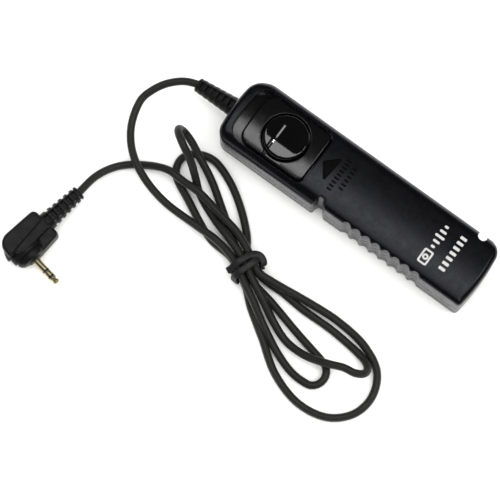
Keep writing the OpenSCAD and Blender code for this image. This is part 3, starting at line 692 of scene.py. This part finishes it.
def add_top_shell():
    """Crowned cover with the panel recess, its opening and the engraved arrow."""
    shell = Solid()
    seam = shell.ring(inset(OUTLINE, groove_depths(OUTLINE, GROOVE_DEPTH)), SEAM)
    brow = shell.ring(OUTLINE, top_height(OUTLINE))
    shell.walls(seam, shell.ring(OUTLINE, SEAM + GROOVE), brow)
    rim = RECESS_RIM.loop
    lip = shell.ring(rim, top_height(rim))
    floor = shell.ring(rim, floor_height(rim))
    shell.walls(lip, floor)
    sill = shell.ring(inset(OPENING, -0.15), floor_height(OPENING))
    roof_hole = shell.ring(OPENING, ROOF)
    shell.walls(sill, shell.ring(OPENING, floor_height(OPENING) - 0.15), roof_hole)
    shell.fill(floor, [sill], floor_height, spacing=0.9)
    arrow = shell.ring(ARROW, top_height(ARROW))
    bed = shell.ring(inset(ARROW, 0.12), top_height(ARROW) - ARROW_DEPTH)
    shell.walls(arrow, bed)
    shell.fill(bed, height=lambda p: crown(p[:, 1]) - ARROW_DEPTH, spacing=0.8)
    rows = np.vstack([hand_rows(), NOTCH_RIM.rows(4), RECESS_RIM.rows(5)])
    shell.fill(brow, [lip, arrow], top_height, rows, 1.1)
    inner_seam = shell.ring(CAVITY, SEAM)
    roof = shell.ring(CAVITY, ROOF)
    shell.walls(inner_seam, roof)
    shell.fill(roof, [roof_hole])
    shell.fill(seam, [inner_seam])
    low, high = RECESS_RIM.loop.min(0), RECESS_RIM.loop.max(0)
    arrow_low, arrow_high = ARROW.min(0), ARROW.max(0)

    def finish(mesh):
        """The recess's floor and walls are polished, the arrow's bed is dull, the rest textured."""
        for polygon in mesh.polygons:
            x, y, z = polygon.center / MM
            depth = crown(y) - z
            recessed = low[0] < x < high[0] and low[1] < y < high[1] and z > ROOF + 0.1
            engraved = arrow_low[0] < x < arrow_high[0] and arrow_low[1] < y < arrow_high[1]
            if recessed and depth > 0.6:
                yield 1
            else:
                yield 2 if engraved and ARROW_DEPTH / 3 < depth < 1 else 0

    add_piece("top_cover", shell.points, shell.faces, "top_shell", ["shell", "gloss", "dull_black"], finish)


def add_bottom_shell():
    """Flat-bottomed tray with two counterbored screw holes."""
    def depth(points):
        return hand_drop(points) + NOTCH_RIM.drop(points)

    shell = Solid()
    seam = shell.ring(inset(OUTLINE, groove_depths(OUTLINE, GROOVE_DEPTH)), SEAM)
    brow = shell.ring(OUTLINE, depth(OUTLINE))
    fine = groove_depths(OUTLINE, 0.16) * np.clip(-OUTLINE[:, 1] - GRIP_Y + 3.5, 0, 1)
    steps = [shell.ring(inset(OUTLINE, fine * share), STEP_Z + rise)
             for share, rise in ((0, -0.2), (1, -0.1), (1, 0.1), (0, 0.2))]
    shell.walls(brow, *steps, shell.ring(OUTLINE, SEAM - GROOVE), seam)
    mouths, bosses = [], []
    inner_floor = shell.ring(CAVITY, WALL)
    for x in CASE_SCREW_X:
        mouth_r = COUNTERBORE_R + 0.15
        mouth = shell.ring(circle(x, 0, mouth_r, 0.3), 0)
        side = circle(x, 0, COUNTERBORE_R, 0.3 * COUNTERBORE_R / mouth_r)
        low, end = shell.ring(side, 0.15), shell.ring(side, COUNTERBORE_TOP)
        shell.walls(mouth, low, end)
        shell.fill(end)
        mouths.append(mouth)
        boss = shell.ring(circle(x, 0, BOSS_R, 0.4), WALL)
        boss_top = shell.ring(circle(x, 0, BOSS_R, 0.4), SEAM - 0.1)
        shell.walls(boss, boss_top)
        shell.fill(boss_top)
        bosses.append(boss)
    shell.fill(brow, mouths, depth, np.vstack([hand_rows(), NOTCH_RIM.rows(4)]), 2.0)
    inner_seam = shell.ring(CAVITY, SEAM)
    shell.walls(inner_floor, inner_seam)
    shell.fill(inner_floor, bosses)
    shell.fill(seam, [inner_seam])
    add_piece("bottom_tray", shell.points, shell.faces, "bottom_shell")


add_top_shell()
add_bottom_shell()

# ---- lock plate and button ----


def add_lock_plate():
    """Crowned plate with the button's well, on a cup that shows only down the gap."""
    edge = Rim(panel_outline(PLATE_X, PLATE_HALF_W, 3.2, 2.2, 0.5), 0.75)
    bore = Rim(circle(BUTTON_X, 0, BORE_R), 0.35, outer=False)

    def height(points):
        return crown(points[:, 1]) - PLATE_DROP - edge.drop(points) - bore.drop(points)

    plate = Solid()
    skirt = plate.ring(inset(edge.loop, 0.15), PLATE_BASE)
    brow = plate.ring(edge.loop, height(edge.loop))
    plate.walls(skirt, plate.ring(edge.loop, PLATE_BASE + 0.15), brow)
    lip = plate.ring(bore.loop, height(bore.loop))
    well = plate.ring(bore.loop, CUP_FLOOR[1])
    plate.walls(lip, well)
    hole = circle(BUTTON_X, 0, PLUNGER_HOLE_R)
    top_hole, low_hole = plate.ring(hole, CUP_FLOOR[1]), plate.ring(hole, CUP_FLOOR[0])
    plate.walls(top_hole, low_hole)
    plate.fill(well, [top_hole])
    cup = circle(BUTTON_X, 0, CUP_R)
    cup_top, cup_low = plate.ring(cup, PLATE_BASE), plate.ring(cup, CUP_FLOOR[0])
    plate.walls(cup_top, cup_low)
    plate.fill(cup_low, [low_hole])
    plate.fill(skirt, [cup_top])
    plate.fill(brow, [lip], height, np.vstack([edge.rows(8), bore.rows(6)]), 0.9)
    add_piece("lock_plate", plate.points, plate.faces, "lock_slider")


def rib_profile(offset):
    """Height of a ridge with plane sides, at some distance from its crest."""
    return RIB_H * np.clip(1 - np.hypot(offset / RIB_HALF_W, 0.05), 0, 1)


def add_button():
    """Polished round button with a rolled edge and a raised index rib."""
    edge = Rim(circle(BUTTON_X, 0, BUTTON_R, 0.18), 0.8)

    def height(points):
        rib = rib_profile(points[:, 0] - RIB_X)
        ends = np.clip((RIB_END_Y - points[:, 1]) / 0.3, 0, 1) * np.clip(edge_gap(points) / 0.9, 0, 1)
        return BUTTON_TOP + crown(points[:, 1]) - BODY_H - edge.drop(points) + rib * ends

    def edge_gap(points):
        return BUTTON_R - np.hypot(points[:, 0] - BUTTON_X, points[:, 1])

    button = Solid()
    base = button.ring(inset(edge.loop, 0.2), BUTTON_LOW[2])
    brow = button.ring(edge.loop, height(edge.loop))
    button.walls(base, button.ring(edge.loop, BUTTON_LOW[2] + 0.2), brow)
    columns = RIB_X + RIB_HALF_W * np.array([-1.2, -1.02, -0.85, -0.5, -0.2, 0, 0.2, 0.5, 0.85, 1.02, 1.2])
    x, y = np.meshgrid(columns, np.arange(-7, RIB_END_Y + 0.6, 0.15))
    rib_points = np.column_stack([x.ravel(), y.ravel()])
    button.fill(brow, height=height, extra=np.vstack([edge.rows(9), rib_points]), spacing=0.6)
    button.fill(base)
    add_piece("button_cap", button.points, button.faces, "release_button", ["button_gloss"])


def add_index_bar():
    """The rib's line carried on over the plate, from the well to the -Y edge."""
    rows = []
    for y in np.linspace(-BORE_R + 0.45, -PLATE_HALF_W + 0.7, 12):
        offsets = np.linspace(-1, 1, 13) * RIB_HALF_W
        surface = crown(y) - PLATE_DROP
        ends = min(1, (y + PLATE_HALF_W - 0.6) / 0.3)
        tops = surface + rib_profile(offsets) * ends
        rows.append([(RIB_X + o, y, t) for o, t in zip(offsets, tops)]
                    + [(RIB_X + RIB_HALF_W, y, surface - 0.4), (RIB_X - RIB_HALF_W, y, surface - 0.4)])
    add_swept("index_bar", rows, "lock_slider", replaces=False)


def swept(rows):
    """Points and faces of a closed tube through rings of points."""
    size = len(rows[0])
    points = [p for row in rows for p in row]
    faces = [(r * size + k, r * size + (k + 1) % size, (r + 1) * size + (k + 1) % size, (r + 1) * size + k)
             for r in range(len(rows) - 1) for k in range(size)]
    for row, ids in ((rows[0], range(size)), (rows[-1], range(len(points) - size, len(points)))):
        ids = list(ids)
        centre = len(points)
        points.append(tuple(np.mean(row, axis=0)))
        faces += [(ids[k], ids[(k + 1) % size], centre) for k in range(size)]
    return points, faces


def add_swept(name, rows, node, **options):
    points, faces = swept(rows)
    return add_piece(name, points, faces, node, **options)


add_lock_plate()
add_button()
add_index_bar()

# ---- raised and printed marks on the top shell ----


def add_marks(name, outlines, thickness, material):
    """Flat shapes that stand a little proud of the crown. Each is an outer loop with its holes."""
    marks = Solid()
    sink = 0.05
    for loops in outlines:
        tops = [marks.ring(loop, crown(loop[:, 1]) + thickness) for loop in loops]
        bases = [marks.ring(loop, crown(loop[:, 1]) - sink) for loop in loops]
        for top, base in zip(tops, bases):
            marks.walls(base, top)
        marks.fill(tops[0], tops[1:], lambda p: crown(p[:, 1]) + thickness, spacing=0.7)
        marks.fill(bases[0], bases[1:], lambda p: crown(p[:, 1]) - sink, spacing=0.7)
    add_piece(name, marks.points, marks.faces, "top_shell", [material], replaces=False)


def bar(x, y, width, length, r=0.2):
    """A rounded bar, width along X and length along Y."""
    w, h = width / 2, length / 2
    corners = [(x + w, y + h, r), (x - w, y + h, r), (x - w, y - h, r), (x + w, y - h, r)]
    return [resampled(rounded(corners), 0.15)]


def disc(x, y, r, hole=0.0):
    return [circle(x, y, r, 0.15)] + ([circle(x, y, hole, 0.15)] if hole else [])


def frame_bar(x, y, width, length, line):
    """A hollow rounded box with that line width."""
    return bar(x, y, width, length, 0.6) + bar(x, y, width - 2 * line, length - 2 * line, 0.3)


def add_embossed_marks():
    """Two rows of plain raised dashes beside the arrow, in place of wording."""
    first = [bar(-7.6, y, 1.7, 0.62) for y in np.linspace(-5.4, 5.6, 9)]
    second = [bar(-4.6, y, 1.7, 0.62) for y in np.linspace(-3.2, 4.4, 6)]
    add_marks("embossed_marks", first + second, 0.1, "dull_black")


def add_printed_marks():
    """A wordless white print: a camera outline with a row of bars, and a second row of dashes."""
    camera = [frame_bar(29.4, -5.0, 3.4, 5.0, 0.6), disc(29.4, -5.0, 1.0, 0.4)]
    widths = [1.4, 2.4, 3.4, 2.4, 1.4]
    waves = [bar(29.4, -1.0 + 1.9 * k, width, 0.85, 0.35) for k, width in enumerate(widths)]
    dashes = [bar(35.8, y, 2.3, 1.0, 0.25) for y in np.linspace(-5.1, 6.7, 7)]
    add_marks("printed_marks", camera + waves + dashes, 0.025, "print_white")


add_embossed_marks()
add_printed_marks()

# ---- strain reliefs ----


def relief_rows(place, length, r0, r1, side_depth):
    """Rings of a tapered strain relief. Windows between flat rungs open on its top and bottom, and
    the sides are notched half a pitch further on, so that it bends either way."""
    pitch, sides, first, last = 2.2, 72, 1.2, 0.9
    rows = []
    for x in np.arange(0, length + 0.01, 0.12):
        base = r0 + (r1 - r0) * x / length - 0.35 * max(0, 1 - (length - x) / 0.4) ** 2
        within = smooth(x, first, first + 0.1) * (1 - smooth(x, length - last - 0.1, length - last))
        on_top = within * window(((x - first) / pitch) % 1)
        on_side = within * window(((x - first) / pitch + 0.5) % 1)
        ring = []
        for k in range(sides):
            a = 2 * math.pi * k / sides
            across, up = math.cos(a), math.sin(a)
            side = smooth(abs(across), 0.55, 0.8)
            r = base - side_depth * on_side * side
            open_width = 1 - smooth(abs(across), 0.36, 0.44)
            level = base * (0.93 - 0.43 * on_top)
            z = r * up
            z -= math.copysign(max(0, abs(z) - level), z) * open_width * within
            ring.append(tuple(place @ Vector((x, r * across, z))))
        rows.append(ring)
    return rows


def smooth(value, low, high):
    t = min(1, max(0, (value - low) / (high - low)))
    return t * t * (3 - 2 * t)


def window(phase):
    """1 in the first half of a pitch and 0 in the rest, with short ramps."""
    return smooth(phase, 0, 0.08) * (1 - smooth(phase, 0.46, 0.54))


def add_reliefs():
    axis = Vector(boot_point(1)) - Vector(boot_point(0))
    side = Vector((0, 0, 1)).cross(axis).normalized()
    turn = Matrix((axis, side, axis.cross(side))).transposed().to_4x4()
    rows = relief_rows(Matrix.Translation(boot_point(-2.2)) @ turn, BOOT_LEN + 2.2, 3.42, 2.38, 0.1)
    body = add_swept("body_relief", rows, "body_strain_relief")
    turn = Matrix.Rotation(PLUG_TURN + math.pi / 2, 4, "Z")
    start = Matrix.Translation(plug_point(RELIEF_X, RELIEF_Y - 1))
    return body, add_swept("plug_relief", relief_rows(start @ turn, RELIEF_LEN + 1, 3.3, 2.4, 0.5),
                           "plug_strain_relief")


body_relief, plug_relief = add_reliefs()

# ---- plug ----


def blended(name, parts, node, voxel, smoothing):
    """Overlapping closed meshes merged into one moulding with soft inner corners."""
    points, faces = [], []
    for part_points, part_faces in parts:
        faces += [tuple(i + len(points) for i in face) for face in part_faces]
        points += list(part_points)
    piece = add_piece(name, points, faces, node)
    merge = piece.modifiers.new("merge", "REMESH")
    merge.mode = "VOXEL"
    merge.voxel_size = voxel * MM
    merge.use_smooth_shade = True
    relax = piece.modifiers.new("relax", "SMOOTH")
    relax.factor = 0.5
    relax.iterations = smoothing
    shown = piece.evaluated_get(bpy.context.evaluated_depsgraph_get())
    mesh = bpy.data.meshes.new_from_object(shown)
    piece.modifiers.clear()
    piece.data = mesh
    return piece


def lathe(profile, sides=64):
    """A solid turned round the plug's pin axis from (x, radius) steps; radius may be (y, z) radii."""
    rows = []
    for x, r in profile:
        ry, rz = r if isinstance(r, tuple) else (r, r)
        turns = [2 * math.pi * k / sides for k in range(sides)]
        rows.append([plug_point(x, ry * math.cos(t), rz * math.sin(t)) for t in turns])
    return swept(rows)


def loft(sections):
    """A solid through outlines at rising heights: (z, outline) in the plug's frame."""
    return swept([[plug_point(x, y, z) for x, y in outline] for z, outline in sections])


def moulding(corners, levels):
    """A slab from (x, y, radius) corners, with each level's (height, inset)."""
    outline = resampled(rounded(corners), 0.2)
    return loft([(z, inset(outline, edge)) for z, edge in levels])


def add_plug():
    """Right-angled moulding: a slab with a raised spine, a low shelf beside the pin, and a ribbed
    nose that ends in the pin's collar."""
    half = PLUG_H / 2
    slab = moulding(
        [(-4.2, 10.9, 0.5), (-11.6, 10.5, 1.7), (-11.9, -5.2, 4.4), (-5.0, -5.8, 0.5)],
        [(-half + 0.02, 0.8), (-half + 0.3, 0.35), (-half + 0.9, 0.05), (0, 0), (half - 1.5, 0.05),
         (half - 0.75, 0.35), (half - 0.4, 0.9)])
    shelf = moulding(
        [(0.7, 0.5, 0.4), (-0.3, 11.1, 1.5), (-6.0, 11.1, 0.4), (-6.0, 0.5, 0.4)],
        [(-half + 0.02, 0.6), (-half + 0.3, 0.25), (-half + 0.9, 0), (0.9, 0.05), (1.4, 0.3), (1.65, 0.8)])
    spine = moulding([(-3.1, -1.5, 1.0), (-3.9, 10.7, 0.5), (-7.3, 10.7, 0.5), (-5.6, -4.0, 0.8)],
                     [(half - 2.5, 0), (half - 0.4, 0), (half - 0.12, 0.12), (half - 0.01, 0.4)])
    nose = [(-9.6, (4.4, 2.4)), (-8.6, (5.4, 2.8)), (-7.4, (6.1, 3.1)), (-6.3, (6.5, 3.3)),
            (-5.2, (6.7, 3.5)),
            (-5.0, (6.6, 3.5)), (-4.95, (5.5, 3.1)), (-4.45, (5.5, 3.1)), (-4.4, (6.0, 3.5)),
            (-2.4, (5.9, 3.5)), (-2.35, (5.1, 3.1)), (-1.9, (5.1, 3.1)), (-1.85, (5.4, 3.45)),
            (-0.8, (5.1, 3.4)), (-0.1, (4.3, 3.2)), (0.25, (3.4, 2.9)), (0.3, 2.5), (0.75, 2.3), (0.8, 2.0)]
    body = blended("plug_moulding", [slab, shelf, spine, lathe(nose)], "plug_body", 0.12, 2)
    limit_height(body)
    pin_r = 1.25
    parts = [
        add_turned("plug_sleeve_contact", [(0.1, 1.2), (0.3, pin_r), (5.1, pin_r), (5.2, 1.2)],
                   "plug_sleeve"),
        add_turned("plug_ring_contact", [(5.7, 1.2), (5.8, pin_r), (7.6, pin_r), (7.7, 1.2)], "plug_ring"),
        add_turned("plug_tip_contact", [
            (8.2, 1.2), (8.3, pin_r), (8.95, pin_r), (9.2, 1.05), (9.38, 0.86), (9.55, 0.86), (9.8, 1.0),
            (10.05, 1.19), (10.3, 1.17), (10.6, 0.98), (10.85, 0.62), (10.97, 0.3), (11.0, 0.1)], "plug_tip"),
        add_turned("plug_insulator_rings", [(5.0, 1.16), (5.2, 1.19), (8.3, 1.19), (8.4, 1.16)],
                   "plug_insulators")]
    return [body, *parts]


def limit_height(piece):
    """Keeps a moulding off the floor and under its CAD height."""
    for vertex in piece.data.vertices:
        vertex.co.z = min(max(vertex.co.z, 0.02 * MM), PLUG_H * MM)


def add_turned(name, profile, node):
    points, faces = lathe(profile)
    return add_piece(name, points, faces, node)


plug_pieces = add_plug()

# ---- tie round the bundle ----


TIE_STATIONS = [          # place along, across and above the bundle, then the flat side's direction
    (-1.5, -5.9, 5.1, 0, -0.5, 1), (-1.55, -4.6, 6.0, 0, -0.5, 1), (-2.3, -2.0, 6.95, 0, 0, 1),
    (-2.6, 1.0, 7.0, 0, 0, 1), (-2.6, 3.2, 6.75, 0, 0.2, 1), (-2.0, 4.6, 6.5, 0, 0.1, 1),
    (-1.1, 5.4, 6.2, 0.1, 0, 1), (0.3, 5.7, 6.0, 0, 0.1, 1), (1.6, 5.4, 5.7, 0, 0.4, 0.9),
    (2.1, 4.8, 4.9, 0, 0.8, 0.6), (1.7, 4.75, 3.4, 0, 1, 0), (1.1, 4.5, 1.6, 0, 1, -0.6),
    (1.0, 3.3, 0.62, 0, 0, -1), (0.9, 0, 0.6, 0, 0, -1), (1.3, -3.3, 0.65, 0, 0, -1),
    (2.1, -4.8, 1.5, 0.3, -1, -0.5), (2.4, -5.0, 3.0, 0.5, -1, 0), (1.7, -5.2, 4.4, 0.5, -1, 0.4),
    (1.1, -4.7, 5.7, 0, -0.7, 0.7), (0.8, -3.2, 6.75, 0, -0.2, 1), (0.3, 0, 7.0, 0, 0, 1),
    (-0.3, 3.2, 6.8, 0, 0.2, 1), (-0.6, 4.4, 6.1, 0, 0.8, 0.7), (-0.8, 4.8, 4.6, 0, 1, 0.2),
    (-1.0, 4.6, 2.0, 0, 1, -0.3), (-1.2, 3.4, 0.62, 0, 0, -1), (-1.3, 0, 0.6, 0, 0, -1),
    (-1.3, -3.4, 0.62, 0, 0, -1), (-1.4, -4.7, 1.8, 0, -1, -0.4), (-1.4, -4.8, 3.6, 0, -1, 0)]


def tie_frame():
    """Axes at the tie: along the bundle, across it and up."""
    along = Vector((*ALONG, 0)).normalized()
    return Matrix((along, Vector((-along.y, along.x, 0)), (0, 0, 1))).transposed()


def add_tie():
    """A coated wire tie, wrapped twice round the six passes with one eye beside them."""
    turn = tie_frame()
    stations = np.array(TIE_STATIONS, float)
    places = smooth_line(stations[:, :3], None)
    normals = smooth_line(stations[:, 3:], None)
    width, thickness = 2.35, 1.12
    rows = []
    for k, place in enumerate(places):
        run = Vector(places[min(k + 1, len(places) - 1)] - places[max(k - 1, 0)]).normalized()
        up = Vector(normals[k])
        up = (up - run * up.dot(run)).normalized()
        side = run.cross(up)
        ring = []
        for t in np.linspace(0, 2 * math.pi, 20, endpoint=False):
            across = math.copysign(abs(math.cos(t)) ** 0.75, math.cos(t)) * width / 2
            through = math.copysign(abs(math.sin(t)) ** 0.75, math.sin(t)) * thickness / 2
            point = turn @ (Vector(place) + side * across + up * through)
            ring.append((point.x + KNOT[0], point.y + KNOT[1], max(point.z, 0.03)))
        rows.append(ring)
    return blended("wire_tie", [swept(rows)], "cable_tie", 0.11, 2)


wire_tie = add_tie()

# ---- floor, light and surroundings ----

DOME = 1.7               # radiance of the pale dome
LIGHT_HEIGHT = 1.0


def add_floor():
    """A plain pale sheet under the object, three metres to each side."""
    corners = [(-3, -3, 0), (3, -3, 0), (3, 3, 0), (-3, 3, 0)]
    mesh = bpy.data.meshes.new("floor")
    mesh.from_pydata(corners, [], [(0, 1, 2, 3)])
    material = bpy.data.materials.new("floor")
    material.use_nodes = True
    shader = material.node_tree.nodes["Principled BSDF"]
    shader.inputs["Base Color"].default_value = (0.86, 0.86, 0.85, 1)
    shader.inputs["Roughness"].default_value = 0.9
    shader.inputs["Specular IOR Level"].default_value = 0.1
    mesh.materials.append(material)
    floor = bpy.data.objects.new("floor", mesh)
    bpy.context.scene.collection.objects.link(floor)


def add_softbox(name, place, size, radiance):
    """A rectangular light that faces down, at a place over the table; sizes in metres."""
    data = bpy.data.lights.new(name, "AREA")
    data.shape = "RECTANGLE"
    data.size, data.size_y = size
    data.energy = math.pi * size[0] * size[1] * radiance
    light = bpy.data.objects.new(name, data)
    light.location = (*place, LIGHT_HEIGHT)
    bpy.context.scene.collection.objects.link(light)


def add_surroundings():
    """A pale dome that lights everything softly, but is dark where glossy surfaces mirror it, as
    black flags round a product table would be."""
    world = bpy.data.worlds.new("room")
    world.use_nodes = True
    nodes, links = world.node_tree.nodes, world.node_tree.links
    dome = nodes["Background"]
    dome.inputs["Color"].default_value = (1.0, 1.0, 1.0, 1)
    dome.inputs["Strength"].default_value = DOME
    flags = nodes.new("ShaderNodeBackground")
    flags.inputs["Color"].default_value = (0.05, 0.05, 0.055, 1)
    mix, path = nodes.new("ShaderNodeMixShader"), nodes.new("ShaderNodeLightPath")
    links.new(path.outputs["Is Glossy Ray"], mix.inputs["Fac"])
    links.new(dome.outputs["Background"], mix.inputs[1])
    links.new(flags.outputs["Background"], mix.inputs[2])
    links.new(mix.outputs["Shader"], nodes["World Output"].inputs["Surface"])
    bpy.context.scene.world = world


add_floor()
add_surroundings()
add_softbox("strip", (-0.05, 0.0605), (0.9, 0.131), 5.2)
add_softbox("side_box", (0.55, 0.29), (0.25, 0.22), 7.0)
add_softbox("bulb", (0.56, 0.142), (0.02, 0.02), 260.0)
bpy.context.scene.view_settings.view_transform = "Standard"
